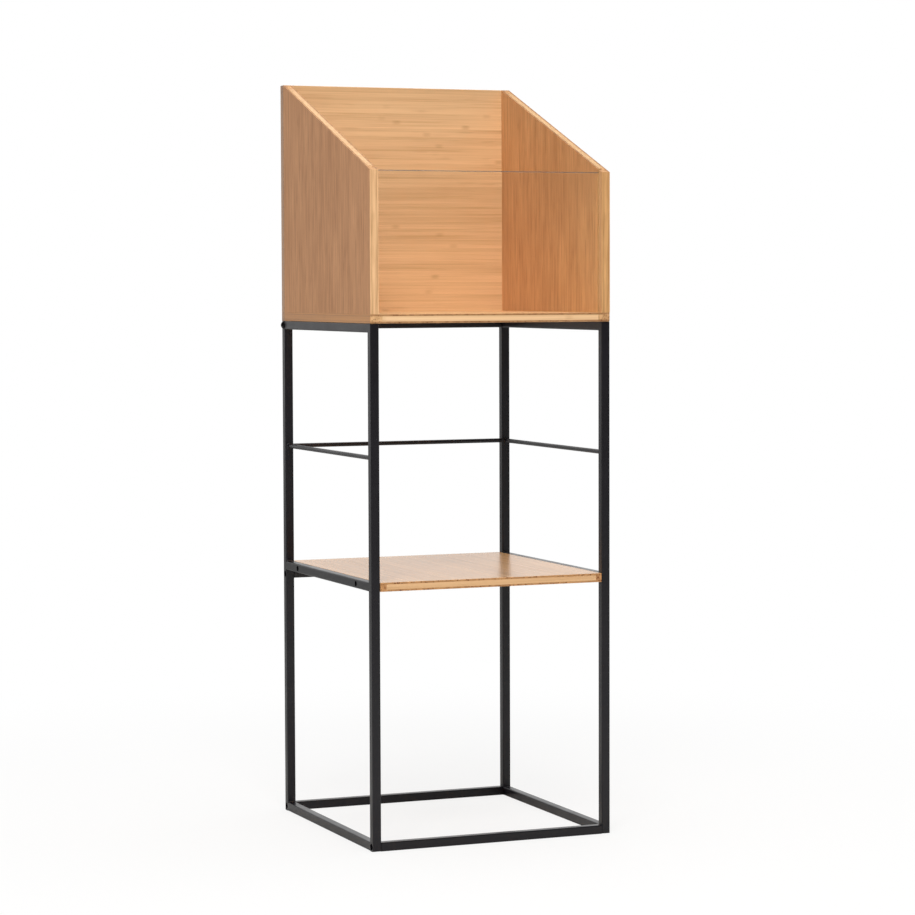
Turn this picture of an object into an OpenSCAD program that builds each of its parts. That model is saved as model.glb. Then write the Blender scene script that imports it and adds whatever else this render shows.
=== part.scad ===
// Record stand: a bamboo plywood record box with a clear front panel, on a black
// square-tube steel frame with a bamboo shelf at mid-height.
// Millimetres, +Z up. The front faces -Y and the left side faces -X.
// The origin is on the floor, at the middle of the frame's footprint.

/* [Overall] */
// Width of the frame and of the box
stand_w = 346; // [310:1:440]
// Depth of the frame and of the box, front to back
stand_d = 353; // [300:1:450]
// Height of the steel frame, which is also the underside of the box
frame_h = 698; // [560:1:860]

/* [Record box] */
// Height of the box at its front corners, from the underside of its floor
box_front_h = 201; // [150:1:250]
// Height of the box at its back
box_back_h = 331; // [270:1:400]
// Thickness of the box's boards
board_t = 12; // [11:0.5:18]

/* [Clear front panel] */
// Thickness of the clear panel
panel_t = 3; // [2:0.5:5]
// Setback of the panel's groove from the front of the box
groove_setback = 9.5; // [6:0.5:20]
// Depth of the grooves in the box's sides
side_groove = 5; // [3:0.5:7]
// Depth of the groove in the box's floor
floor_groove = 3; // [2:0.5:5]
// Play of the panel in its grooves, on each face
panel_play = 0.4; // [0.3:0.05:0.6]

/* [Frame tube] */
// Outside width of the square tube
tube = 12; // [12:0.5:16]
// Wall of the tube
tube_wall = 1.2; // [1:0.1:1.5]
// Outside radius of the tube's long corners
tube_round = 1.5; // [0.8:0.1:2]
// Thickness of the plates welded into the posts' ends
end_plate = 1.5; // [1.2:0.1:1.6]
// Radius that the welded outer corners of the side frames are ground to
corner_round = 3; // [2:0.5:3]

/* [Shelf and stop rods] */
// Height of the shelf's top face
shelf_top = 357; // [260:1:400]
// Thickness of the shelf
shelf_t = 12; // [10:0.5:18]
// Gap between the shelf and the side rails, on each side
shelf_gap = 0.4; // [0.2:0.1:1]
// Height of the rods that stop the records
rod_z = 521; // [420:1:640]
// Diameter of the rods
rod_d = 6; // [5:0.5:8]
// Length of the back rod that goes into each post
rod_seat = 6; // [3:0.5:8]

/* [Frame bolts] */
// Shank of the bolts that hold the top cross rail
top_bolt_d = 6; // [5:1:6]
// Head diameter of those bolts
top_head_d = 10.5; // [9:0.5:11]
// Head height of those bolts
top_head_h = 3.3; // [2.5:0.1:3.5]
// Shank of the bolts that hold the other cross rails
low_bolt_d = 5; // [4:1:5]
// Head diameter of those bolts
low_head_d = 8.5; // [7:0.5:8.5]
// Head height of those bolts
low_head_h = 5; // [3:0.5:6]
// Length of the threaded plugs in the cross rails' ends
plug_len = 12; // [8:1:16]

/* [Wood screws] */
// Distance of the rail screws from the front and back of the stand
rail_screw_inset = 60; // [60:1:100]
// Shank of the screws through the rails
rail_screw_d = 4; // [3.5:0.5:4.5]
// Head diameter of the screws through the rails
rail_screw_head = 7; // [6:0.5:7.5]
// Length of the shelf screws that is in the shelf
shelf_bite = 22; // [15:1:40]
// Length of the box screws that is in the box's floor
box_bite = 9; // [6:0.5:9.5]
// Shank of the screws that hold the box together
box_screw_d = 3.5; // [3:0.5:4]
// Length of those screws
box_screw_len = 32; // [25:1:38]
// Distance of those screws from the ends of a board
box_screw_inset = 36; // [32:1:40]

/* [Hidden] */
$fn = 48;

// Clearances
hole_play = 0.4;        // a bolt or rod in its hole, on the diameter
thread_play = 0.1;      // a thread in its hole, on the diameter
access_play = 1;        // a screw head in its access hole, on the diameter
plug_play = 0.2;        // a threaded plug in the tube, on its width
overrun = 1;            // how far a cut runs past the face that it opens
sink = 0.2;             // how far a countersunk head lies below the board's face

// Colours
steel_black = "#2c2c2e";
bolt_black = "#1f1f21";
zinc = "#b9bcbe";
phosphate = "#3a3a3d";
bamboo = "#d2a374";
bamboo_side = "#b58463";

// Places worked out from the sizes above
post_x = stand_w / 2 - tube / 2;
post_y = stand_d / 2 - tube / 2;
bore = tube - 2 * tube_wall;
side_rail_len = stand_d - 2 * tube;
cross_rail_len = stand_w - 2 * tube;
low_rail_z = tube / 2;
top_rail_z = frame_h - tube / 2;
shelf_rail_z = shelf_top - tube / 2;
shelf_back_z = shelf_top - shelf_t - tube / 2;
rail_screw_y = stand_d / 2 - rail_screw_inset;

floor_top = frame_h + board_t;
front_top = frame_h + box_front_h;
back_top = frame_h + box_back_h;
front_y = -stand_d / 2;
back_face = stand_d / 2;
back_board_y = back_face - board_t;
side_mid_x = stand_w / 2 - board_t / 2;
inner_w = stand_w - 2 * board_t;
groove_w = panel_t + 2 * panel_play;
groove_y = front_y + groove_setback + groove_w / 2;
panel_bottom = floor_top - floor_groove;
panel_w = inner_w + 2 * side_groove - 2 * panel_play;

// Each cross rail: which side of the stand it is on, and its height
low_cross = [[-1, low_rail_z], [1, low_rail_z], [1, shelf_back_z]];
top_cross = [1, top_rail_z];

// Where the screws of the box go
box_screw_ys = [front_y + box_screw_inset, (front_y + back_board_y) / 2, back_board_y - box_screw_inset];
box_screw_zs = [floor_top + box_screw_inset, (floor_top + back_top) / 2, back_top - box_screw_inset];
box_screw_xs = [-stand_w / 3, 0, stand_w / 3];
box_screw_head = 2 * box_screw_d;

// ---- Shapes that repeat ----

module rounded_square(size, round) {
    square([size, size - 2 * round], center = true);
    square([size - 2 * round, size], center = true);
    for (sx = [-1, 1], sy = [-1, 1])
        translate([sx * (size / 2 - round), sy * (size / 2 - round)]) circle(round);
}

// A length of tube along Z, centred on the origin
module square_tube(len) {
    linear_extrude(len, center = true) difference() {
        rounded_square(tube, tube_round);
        square(bore, center = true);
    }
}

// A hole along Z, centred on the origin
module hole(d, len) {
    cylinder(h = len, d = d, center = true);
}

// Turns +Z to point in from the left side (side -1) or the right side (side 1)
module inward(side) {
    rotate([0, -90 * side, 0]) children();
}

// The outline of a post from the side, with its two outer corners ground round
module post_outline() {
    difference() {
        translate([-tube / 2, 0]) square([tube, frame_h]);
        for (top = [0, 1]) translate([0, top * frame_h]) mirror([0, top]) difference() {
            translate([tube / 2 - corner_round, -overrun])
                square([corner_round + overrun, corner_round + overrun]);
            translate([tube / 2 - corner_round, corner_round]) circle(corner_round);
        }
    }
}

// Weld metal ground flush, which fills the tube's round corners where a rail joins
module weld_lands(z) {
    for (sx = [-1, 1])
        translate([sx * (tube - tube_round) / 2, -(tube - tube_round) / 2, z])
            cube([tube_round, tube_round, tube - 2 * tube_round], center = true);
}

// A post on the back of the frame, with its outer corners towards +Y
module post_body() {
    difference() {
        intersection() {
            union() {
                linear_extrude(frame_h) rounded_square(tube, tube_round);
                for (z = [low_rail_z, shelf_rail_z, top_rail_z]) weld_lands(z);
            }
            rotate([90, 0, 90]) linear_extrude(tube + overrun, center = true) post_outline();
        }
        translate([-bore / 2, -bore / 2, end_plate]) cube([bore, bore, frame_h - 2 * end_plate]);
    }
}

// The holes for a bolt whose head lies inside the post: a wide one in the outer wall
// for the head, and one for the shank in the inner wall
module sunk_bolt_holes(side, z) {
    translate([0, 0, z]) inward(side) {
        translate([0, 0, -tube / 2]) hole(low_head_d + hole_play, tube);
        translate([0, 0, tube / 2]) hole(low_bolt_d + hole_play, tube);
    }
}

module post(side, back) {
    color(steel_black) translate([side * post_x, back * post_y, 0]) difference() {
        rotate([0, 0, back < 0 ? 180 : 0]) post_body();
        for (rail = low_cross) if (rail[0] == back) sunk_bolt_holes(side, rail[1]);
        if (back == top_cross[0])
            translate([0, 0, top_cross[1]]) inward(side) hole(top_bolt_d + hole_play, tube + overrun);
        if (back == 1)
            translate([0, 0, rod_z]) inward(side)
                translate([0, 0, tube / 2]) hole(rod_d + hole_play, tube);
    }
}

// A rail of a side frame, from the front post to the back post
module side_rail(side, z) {
    translate([side * post_x, 0, z]) rotate([90, 0, 0]) square_tube(side_rail_len);
}

// A rail between the two side frames
module cross_rail(back, z) {
    color(steel_black) translate([0, back * post_y, z]) inward(-1) square_tube(cross_rail_len);
}

// The holes for a wood screw through a rail along +Z: access for the head in the
// outer wall, and the shank's hole in the inner wall
module rail_screw_holes() {
    translate([0, 0, -tube / 2]) hole(rail_screw_head + access_play, tube);
    translate([0, 0, tube / 2]) hole(rail_screw_d + hole_play, tube);
}

// Places its children at one rail screw of a side rail, with +Z along the screw
// and the origin at the rail's centre: level 0 is the shelf's, level 1 the box's
module at_rail_screw(side, end, level) {
    if (level == 0)
        translate([side * post_x, end * rail_screw_y, shelf_rail_z]) inward(side) children();
    else
        translate([side * post_x, end * rail_screw_y, top_rail_z]) children();
}

// A screw through a rail, seated on the inside of the rail's inner wall
module rail_screw(bite) {
    head_h = 2.4;
    tip = 3;
    translate([0, 0, tube / 2 - tube_wall]) difference() {
        union() {
            translate([0, 0, -head_h]) cylinder(h = head_h, d = rail_screw_head);
            cylinder(h = tube_wall + bite - tip, d = rail_screw_d);
            translate([0, 0, tube_wall + bite - tip]) cylinder(h = tip, d1 = rail_screw_d, d2 = 0.6);
        }
        translate([0, 0, -head_h]) cross_slot(rail_screw_head * 0.55);
    }
}

// A cross slot for a driver, open downwards
module cross_slot(width) {
    for (a = [0, 90]) rotate([0, 0, a]) cube([width, 1, 2.4], center = true);
}

// A countersunk screw along +Z, whose head is flush with z = sink
module flat_screw() {
    head_h = (box_screw_head - box_screw_d) / 2;
    tip = 3;
    difference() {
        union() {
            translate([0, 0, sink]) cylinder(h = head_h, d1 = box_screw_head, d2 = box_screw_d);
            translate([0, 0, sink + head_h])
                cylinder(h = box_screw_len - sink - head_h - tip, d = box_screw_d);
            translate([0, 0, box_screw_len - tip]) cylinder(h = tip, d1 = box_screw_d, d2 = 0.6);
        }
        translate([0, 0, sink]) cross_slot(box_screw_head * 0.6);
    }
}

// Its hole: the countersink, and the shank's hole along the whole screw
module flat_screw_hole() {
    head_h = (box_screw_head - box_screw_d) / 2;
    translate([0, 0, sink])
        cylinder(h = head_h + thread_play, d1 = box_screw_head + thread_play, d2 = box_screw_d);
    translate([0, 0, -overrun]) cylinder(h = overrun + sink + 0.01, d = box_screw_head + thread_play);
    cylinder(h = box_screw_len + overrun, d = box_screw_d + thread_play);
}

// Every screw up through the box's floor into the sides
module at_floor_screws() {
    for (side = [-1, 1], y = box_screw_ys) translate([side * side_mid_x, y, frame_h]) children();
}

// Every screw forward through the box's back, into the sides and the floor
module at_back_screws() {
    for (side = [-1, 1], z = box_screw_zs)
        translate([side * side_mid_x, back_face, z]) rotate([90, 0, 0]) children();
    for (x = box_screw_xs)
        translate([x, back_face, frame_h + board_t / 2]) rotate([90, 0, 0]) children();
}

// The groove for the clear panel, cut into both sides and the floor
module panel_groove() {
    translate([-inner_w / 2 - side_groove, groove_y - groove_w / 2, panel_bottom])
        cube([inner_w + 2 * side_groove, groove_w, back_top]);
}

// ---- Steel frame ----

module top_rail(side) {
    color(steel_black) difference() {
        side_rail(side, top_rail_z);
        for (end = [-1, 1]) at_rail_screw(side, end, 1) rail_screw_holes();
    }
}

module shelf_rail(side) {
    color(steel_black) difference() {
        side_rail(side, shelf_rail_z);
        for (end = [-1, 1]) at_rail_screw(side, end, 0) rail_screw_holes();
    }
}

module bottom_rail(side) {
    color(steel_black) side_rail(side, low_rail_z);
}

module stop_rod(side) {
    color(steel_black) translate([side * post_x, 0, rod_z]) rotate([90, 0, 0]) hole(rod_d, side_rail_len);
}

module stop_rod_back() {
    color(steel_black) translate([0, post_y, rod_z]) inward(-1) hole(rod_d, cross_rail_len + 2 * rod_seat);
}

// Threaded plugs pressed into the ends of the cross rails
module rail_end_plug(thread_d) {
    translate([0, 0, plug_len / 2]) difference() {
        cube([bore - plug_play, bore - plug_play, plug_len], center = true);
        hole(thread_d + thread_play, plug_len + overrun);
    }
}

// Places its children at a cross rail's end, with +Z into the rail
module at_rail_end(side, rail) {
    translate([side * cross_rail_len / 2, rail[0] * post_y, rail[1]]) inward(side) children();
}

module rail_end_plugs() {
    color(zinc) for (side = [-1, 1]) {
        at_rail_end(side, top_cross) rail_end_plug(top_bolt_d);
        for (rail = low_cross) at_rail_end(side, rail) rail_end_plug(low_bolt_d);
    }
}

// Button-head bolts right through the back posts into the top cross rail
module top_cross_bolts() {
    rim = 0.8;
    crown_r = (pow(top_head_d / 2, 2) + pow(top_head_h - rim, 2)) / (2 * (top_head_h - rim));
    color(bolt_black) for (side = [-1, 1]) at_rail_end(side, top_cross) translate([0, 0, -tube]) difference() {
        union() {
            cylinder(h = tube + plug_len - 1, d = top_bolt_d);
            translate([0, 0, -rim]) cylinder(h = rim, d = top_head_d);
            intersection() {
                translate([0, 0, crown_r - top_head_h]) sphere(crown_r);
                translate([0, 0, -top_head_h]) cylinder(h = top_head_h - rim, d = top_head_d);
            }
        }
        translate([0, 0, -top_head_h - overrun]) cylinder(h = 2.2 + overrun, d = 4.6, $fn = 6);
    }
}

// Socket-head bolts whose heads lie inside the posts, behind their access holes
module lower_cross_bolts() {
    color(bolt_black) for (side = [-1, 1], rail = low_cross)
        at_rail_end(side, rail) translate([0, 0, -tube_wall]) difference() {
            union() {
                cylinder(h = tube_wall + plug_len - 1, d = low_bolt_d);
                translate([0, 0, -low_head_h]) cylinder(h = low_head_h, d = low_head_d);
            }
            translate([0, 0, -low_head_h - overrun]) cylinder(h = 2.5 + overrun, d = 4.6, $fn = 6);
        }
}

// ---- Shelf ----

module shelf_board() {
    width = cross_rail_len - 2 * shelf_gap;
    color(bamboo) difference() {
        translate([-width / 2, front_y, shelf_top - shelf_t]) cube([width, stand_d, shelf_t]);
        for (side = [-1, 1], end = [-1, 1]) at_rail_screw(side, end, 0)
            translate([0, 0, tube / 2]) cylinder(h = shelf_bite + overrun, d = rail_screw_d + thread_play);
    }
}

module shelf_screws() {
    color(phosphate) for (side = [-1, 1], end = [-1, 1]) at_rail_screw(side, end, 0) rail_screw(shelf_bite);
}

// ---- Record box ----

module box_floor() {
    color(bamboo) difference() {
        translate([-stand_w / 2, front_y, frame_h]) cube([stand_w, stand_d - board_t, board_t]);
        panel_groove();
        at_floor_screws() flat_screw_hole();
        at_back_screws() flat_screw_hole();
        for (side = [-1, 1], end = [-1, 1]) at_rail_screw(side, end, 1)
            translate([0, 0, tube / 2 - overrun])
                cylinder(h = box_bite + overrun + 0.5, d = rail_screw_d + thread_play);
    }
}

module box_side(side) {
    color(bamboo_side) difference() {
        translate([side * side_mid_x, 0, 0]) rotate([90, 0, 90])
            linear_extrude(board_t, center = true) polygon([
                [front_y, floor_top], [back_board_y, floor_top],
                [back_board_y, back_top], [front_y, front_top]
            ]);
        panel_groove();
        at_floor_screws() flat_screw_hole();
        at_back_screws() flat_screw_hole();
    }
}

module box_back() {
    color(bamboo) difference() {
        translate([-stand_w / 2, back_board_y, frame_h]) cube([stand_w, board_t, box_back_h]);
        at_back_screws() flat_screw_hole();
    }
}

module box_to_frame_screws() {
    color(phosphate) for (side = [-1, 1], end = [-1, 1]) at_rail_screw(side, end, 1) rail_screw(box_bite);
}

module box_floor_screws() {
    color(phosphate) at_floor_screws() flat_screw();
}

module box_back_screws() {
    color(phosphate) at_back_screws() flat_screw();
}

// The clear panel stands in the grooves, with its top level with the box's front corners
module clear_front_panel() {
    color([0.86, 0.93, 0.92, 0.4])
        translate([-panel_w / 2, groove_y - panel_t / 2, panel_bottom])
            cube([panel_w, panel_t, front_top - panel_bottom]);
}

// ---- Nodes ----

post(-1, -1);  // post_front_left
post(1, -1);  // post_front_right
post(-1, 1);  // post_back_left
post(1, 1);  // post_back_right
top_rail(-1);  // top_rail_left
top_rail(1);  // top_rail_right
shelf_rail(-1);  // shelf_rail_left
shelf_rail(1);  // shelf_rail_right
bottom_rail(-1);  // bottom_rail_left
bottom_rail(1);  // bottom_rail_right
stop_rod(-1);  // stop_rod_left
stop_rod(1);  // stop_rod_right
stop_rod_back();
cross_rail(1, top_rail_z);  // cross_rail_top_back
cross_rail(1, shelf_back_z);  // cross_rail_shelf_back
cross_rail(1, low_rail_z);  // cross_rail_bottom_back
cross_rail(-1, low_rail_z);  // cross_rail_bottom_front
rail_end_plugs();
top_cross_bolts();
lower_cross_bolts();
shelf_board();
shelf_screws();
box_floor();
box_side(-1);  // box_side_left
box_side(1);  // box_side_right
box_back();
box_to_frame_screws();
box_floor_screws();
box_back_screws();
clear_front_panel();
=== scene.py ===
# %% [markdown]
# # A record stand: black steel frame, bamboo shelf, bamboo box with a clear front
#
# The stand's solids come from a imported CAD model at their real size, in metres, with +Z up and the front
# facing -Y. Blender's work is how they look. Loading the frame first means that every later cell can ask
# a solid where it is, instead of repeating its sizes.

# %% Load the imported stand
import math

import bmesh
import bpy
from mathutils import Matrix, Vector


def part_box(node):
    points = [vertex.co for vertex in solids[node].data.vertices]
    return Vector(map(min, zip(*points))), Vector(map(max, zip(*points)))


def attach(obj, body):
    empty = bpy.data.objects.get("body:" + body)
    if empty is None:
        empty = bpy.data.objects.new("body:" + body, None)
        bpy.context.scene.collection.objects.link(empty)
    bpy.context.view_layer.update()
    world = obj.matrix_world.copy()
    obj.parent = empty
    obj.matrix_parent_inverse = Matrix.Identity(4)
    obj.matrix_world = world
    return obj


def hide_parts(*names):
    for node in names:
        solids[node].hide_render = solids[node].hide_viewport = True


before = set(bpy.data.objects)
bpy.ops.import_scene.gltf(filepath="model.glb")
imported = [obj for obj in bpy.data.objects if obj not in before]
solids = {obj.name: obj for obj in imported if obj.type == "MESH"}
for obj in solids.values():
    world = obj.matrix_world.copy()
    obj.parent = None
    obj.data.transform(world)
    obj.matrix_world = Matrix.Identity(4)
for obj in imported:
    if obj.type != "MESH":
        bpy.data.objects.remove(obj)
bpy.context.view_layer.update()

# %% [markdown]
# ## The camera
#
# A camera can be aimed with a Track To constraint, but a photograph's camera also has a little roll, which
# a constraint can't hold. So its three axes are written out: yaw turns it about the upright, pitch tips it,
# and roll leans it. The lens is long, about 118 mm, so the stand's sides look almost parallel.

# %% Set up the camera
PHOTO_SIZE = 915
FOCAL_PIXELS = 2996.5
CAMERA_PLACE = Vector((-1.5642, -3.8447, 0.7516))
YAW, PITCH, ROLL = (math.radians(a) for a in (-22.425, -3.347, -0.193))

forward = Vector((-math.sin(YAW) * math.cos(PITCH), math.cos(YAW) * math.cos(PITCH), math.sin(PITCH)))
level_right = Vector((math.cos(YAW), math.sin(YAW), 0))
level_up = level_right.cross(forward)
right = math.cos(ROLL) * level_right + math.sin(ROLL) * level_up
up = -math.sin(ROLL) * level_right + math.cos(ROLL) * level_up

camera = bpy.data.objects.new("photo_camera", bpy.data.cameras.new("photo_camera"))
camera.data.sensor_width = 36
camera.data.lens = FOCAL_PIXELS / PHOTO_SIZE * camera.data.sensor_width
camera.matrix_world = Matrix((right, up, -forward)).transposed().to_4x4()
camera.location = CAMERA_PLACE
bpy.context.scene.collection.objects.link(camera)
bpy.context.scene.camera = camera
print("lens:", round(camera.data.lens, 1), "mm")

# %% [markdown]
# ## Two small helpers
#
# Colours are picked on a screen as sRGB hex values, but a shader works in linear light, so one function
# turns one into the other. The second adds a shader node with its settings and its links in one call, which
# keeps a long material readable.

# %% Colour and node helpers
def linear(hex_colour):
    """Turns an sRGB hex value into the linear red, green, blue and alpha that shaders use."""
    channels = [int(hex_colour[i:i + 2], 16) / 255 for i in (1, 3, 5)]
    return [c / 12.92 if c <= 0.04045 else ((c + 0.055) / 1.055) ** 2.4 for c in channels] + [1.0]


def add(tree, kind, inputs=None, **settings):
    """Adds one shader node. settings are its properties; inputs are values to set or sockets to link."""
    node = tree.nodes.new("ShaderNode" + kind)
    for name, value in settings.items():
        setattr(node, name, value)
    for name, value in (inputs or {}).items():
        if isinstance(value, bpy.types.NodeSocket):
            tree.links.new(value, node.inputs[name])
        else:
            node.inputs[name].default_value = value
    return node


def new_material(name):
    """Makes an empty node material and returns it with its tree and its output node."""
    material = bpy.data.materials.new(name)
    material.use_nodes = True
    material.node_tree.nodes.clear()
    return material, material.node_tree, material.node_tree.nodes.new("ShaderNodeOutputMaterial")


NOISE_RANGE = {"From Min": 0.3, "From Max": 0.7}      # noise could fill 0 to 1, but it rarely leaves this
print("white is", linear("#ffffff")[:3])

# %% [markdown]
# ## Bamboo plywood
#
# The boards are bamboo plywood, sanded and sealed with a clear satin lacquer. Bamboo is pressed from strips
# about 5 mm wide, each a slightly different tan, with dark knuckles where the cane had its joints. Fibre
# bundles run along every strip: they are streaks on a face and dots where the strip is cut across. A flat
# picture of wood would slide wrongly round a corner, so the pattern here is solid: it knows the grain of the
# plies at every point inside the board, and an edge shows the plies that a saw would lay bare there.

# %% Sizes and colours of the bamboo
FACE_PLY = 0.0023        # each face ply; the core between them runs crosswise
CORE_LAYER = 0.0047      # the layers of strips in the core
STRIP_WIDTH = 0.0055     # the strips that a ply is pressed from
KNUCKLE_STEP = 0.27      # distance between the joints of a cane
BUNDLE_STEP = 0.0034     # real bundles lie 0.7 mm apart, too fine to show here, so they are drawn coarser
GLUE_LINE = 0.0004       # half the brown line of glue under a face ply, also drawn coarser than it is

# The boards aren't all cut from one sheet, so each has its own tones. face is the wide faces; edging is the
# solid strips on edge; core is the inner layers where an end shows them; block is the end of an edging strip,
# and ply the ends of the face plies. The back's core, block and ply are darker than its wood: that is painted
# shade, for the shade that lies on the back's side edges.
# Their marks differ too. dots is how dark the bundles are on a sawn end; fibres is how many follow each other
# along a metre, so a low number means long ones; streaks and slivers are how dark the fibres and the short
# slivers among them are, and strips is how much one strip differs from the next.
SIDE_MARKS = {"dots": 0.25, "fibres": 16.0, "streaks": 1.7, "slivers": 0.2, "strips": 0.45}
FLAT_MARKS = {"fibres": 3.0, "streaks": 1.0, "slivers": 0.08, "strips": 1.0}
LEFT_SHEET = {"face": "#d29b6f", "edging": "#ecbd8b", "core": "#e3b98a", "block": "#dcaa76",
              "ply": "#c59062", **SIDE_MARKS}
RIGHT_SHEET = {"face": "#d9a571", "edging": "#d9a56c", "core": "#dab07f", "block": "#d3a06c",
               "ply": "#b98658", **SIDE_MARKS}
FLOOR_SHEET = {"face": "#e4b27d", "edging": "#cd9156", "core": "#f5ca99", "block": "#e0b07c",
               "ply": "#b58557", "dots": 0.45, **FLAT_MARKS}
# The back's dark core, block and ply tones are painted shade on its side edges, not the wood's own colour.
BACK_SHEET_AND_EDGE_SHADE = {"face": "#efc593", "edging": "#dcab76", "core": "#b5875c", "block": "#ac7d52",
              "ply": "#ac7d52", "dots": 0.25, **FLAT_MARKS, "fibres": 5.0, "slivers": 0.1}
SHELF_SHEET = {"face": "#e6b682", "edging": "#d9a873", "core": "#efc18e", "block": "#c68f5b",
               "ply": "#c8935f", "dots": 0.7, **FLAT_MARKS}

shelf_low, shelf_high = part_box("shelf_board")
print("strips across the shelf:", round((shelf_high.x - shelf_low.x) / STRIP_WIDTH))

# %% [markdown]
# First the point being shaded is split into "along", "across" and "through" the board. Every later node can
# then forget which board it is for. The core's grain is turned a quarter turn, and solid strips of the face
# plies' wood close the board's two long edges, so those places are marked too. So is the thin brown line of
# glue under each face ply, which shows wherever an edge cuts through it.

# %% Find the grain's directions inside a board
AXES = "XYZ"


def find_grain(tree, solid, along, across, edging):
    """Sockets that say where a point lies in a board whose face grain runs along one axis."""
    low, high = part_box(solid)
    middle, half = (low + high) / 2, (high - low) / 2
    through = AXES[({0, 1, 2} - {AXES.index(along), AXES.index(across)}).pop()]
    place = add(tree, "TexCoord")
    centred = add(tree, "VectorMath", {0: place.outputs["Object"], 1: middle}, operation="SUBTRACT")
    point = add(tree, "SeparateXYZ", {0: centred.outputs["Vector"]}).outputs
    facing = add(tree, "SeparateXYZ", {0: place.outputs["Normal"]}).outputs

    under_plies = add(tree, "Math", {0: point[through], 1: 0.0, 2: half[AXES.index(through)] - FACE_PLY},
                      operation="COMPARE")
    between_edgings = add(tree, "Math", {0: point[across], 1: 0.0, 2: half[AXES.index(across)] - edging},
                          operation="COMPARE")
    core = add(tree, "Math", {0: under_plies.outputs[0], 1: between_edgings.outputs[0]}, operation="MULTIPLY")
    grain = {"core": core.outputs[0], "under the plies": under_plies.outputs[0], "through": point[through]}
    from_middle = add(tree, "Math", {0: point[through]}, operation="ABSOLUTE")
    grain["glue"] = add(tree, "Math", {0: from_middle.outputs[0], 1: half[AXES.index(through)] - FACE_PLY,
                                       2: GLUE_LINE}, operation="COMPARE").outputs[0]
    for way, outside, in_core in (("along", along, across), ("across", across, along)):
        grain[way] = add(tree, "Mix", {"Factor": grain["core"], "A": point[outside],
                                       "B": point[in_core]}).outputs[0]

    # The saw cuts across the grain where the surface faces along it. The steps are soft, so that a rounded
    # edge goes over from one cut to the next without a line.
    outer_cut = add(tree, "Math", {0: facing[along]}, operation="ABSOLUTE")
    core_cut = add(tree, "Math", {0: facing[across]}, operation="ABSOLUTE")
    cut = add(tree, "Mix", {"Factor": grain["core"], "A": outer_cut.outputs[0], "B": core_cut.outputs[0]})
    grain["cut across"] = add(tree, "MapRange", {"Value": cut.outputs[0], "From Min": 0.45, "From Max": 0.9},
                              interpolation_type="SMOOTHSTEP").outputs[0]
    flat = add(tree, "Math", {0: facing[through]}, operation="ABSOLUTE")
    grain["on a face"] = add(tree, "MapRange", {"Value": flat.outputs[0], "From Min": 0.3, "From Max": 0.8},
                             interpolation_type="SMOOTHSTEP").outputs[0]
    return grain


print("face plies:", FACE_PLY * 1000, "mm")

# %% [markdown]
# Next each strip gets a number, by rounding down. White Noise turns that number into a random tone and a
# random place for its knuckles, and it gives the same answer every time, so no seed is needed. The small
# offset keeps a board's surface from falling exactly between two strips, where rounding would flicker.

# %% Tone and knuckles of each strip
DARKEST_STRIP, PALEST_STRIP = 0.08, -0.055      # shares of the light that a strip takes away
STRIP_OFFSET = 0.37
KNUCKLE_CORE, KNUCKLE_REACH = 0.001, 0.009      # a knuckle is darkest up to the first, and gone at the second
KNUCKLE_DARK = 0.20
KNUCKLE_SPREAD = 5.3     # so that strips alike in tone don't have their knuckles side by side


def strip_darkness(tree, grain):
    """How dark each strip is: its own tone, with the dark of its knuckles added."""
    strip = add(tree, "Math", {0: grain["across"], 1: 1 / STRIP_WIDTH, 2: STRIP_OFFSET},
                operation="MULTIPLY_ADD")
    strip_number = add(tree, "Math", {0: strip.outputs[0]}, operation="FLOOR")
    layer = add(tree, "Math", {0: grain["through"], 1: CORE_LAYER}, operation="DIVIDE")
    layer_number = add(tree, "Math", {0: layer.outputs[0]}, operation="ROUND")
    key = add(tree, "CombineXYZ", {"X": strip_number.outputs[0], "Y": layer_number.outputs[0],
                                   "Z": grain["core"]})
    chance = add(tree, "TexWhiteNoise", {"Vector": key.outputs[0]}, noise_dimensions="3D")
    tone = add(tree, "MapRange", {"Value": chance.outputs["Value"], "To Min": DARKEST_STRIP,
                                  "To Max": PALEST_STRIP})

    start = add(tree, "Math", {0: chance.outputs["Value"], 1: KNUCKLE_SPREAD}, operation="MULTIPLY")
    turns = add(tree, "Math", {0: grain["along"], 1: 1 / KNUCKLE_STEP, 2: start.outputs[0]},
                operation="MULTIPLY_ADD")
    turn = add(tree, "Math", {0: turns.outputs[0]}, operation="FRACT")
    from_knuckle = add(tree, "Math", {0: turn.outputs[0], 1: 0.5}, operation="SUBTRACT")
    distance = add(tree, "Math", {0: from_knuckle.outputs[0]}, operation="ABSOLUTE")
    knuckle = add(tree, "MapRange", {"Value": distance.outputs[0], "From Min": KNUCKLE_CORE / KNUCKLE_STEP,
                                     "From Max": KNUCKLE_REACH / KNUCKLE_STEP, "To Min": 1.0, "To Max": 0.0},
                  interpolation_type="SMOOTHSTEP")

    # A second random number leaves the knuckles out of more than half of the strips.
    other_chance = add(tree, "SeparateColor", {0: chance.outputs["Color"]})
    depth = add(tree, "MapRange", {"Value": other_chance.outputs["Red"], "From Min": 0.55, "From Max": 0.95,
                                   "To Min": 0.0, "To Max": KNUCKLE_DARK})
    dark = add(tree, "Math", {0: knuckle.outputs[0], 1: depth.outputs[0]}, operation="MULTIPLY")
    return add(tree, "Math", {0: tone.outputs[0], 1: dark.outputs[0]}, operation="ADD").outputs[0]


print("knuckles every", KNUCKLE_STEP * 1000, "mm")

# %% [markdown]
# Fibres are noise drawn out along the grain, by scaling the point less in that direction. Fine streaks and
# broad soft ones are made of it. The bundles are cells of a Voronoi texture drawn out the same way, so that
# they end in dots where the grain is cut across. Slivers are such cells too, short and far between, and
# stand for the darker wood near the skin of the cane.

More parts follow.
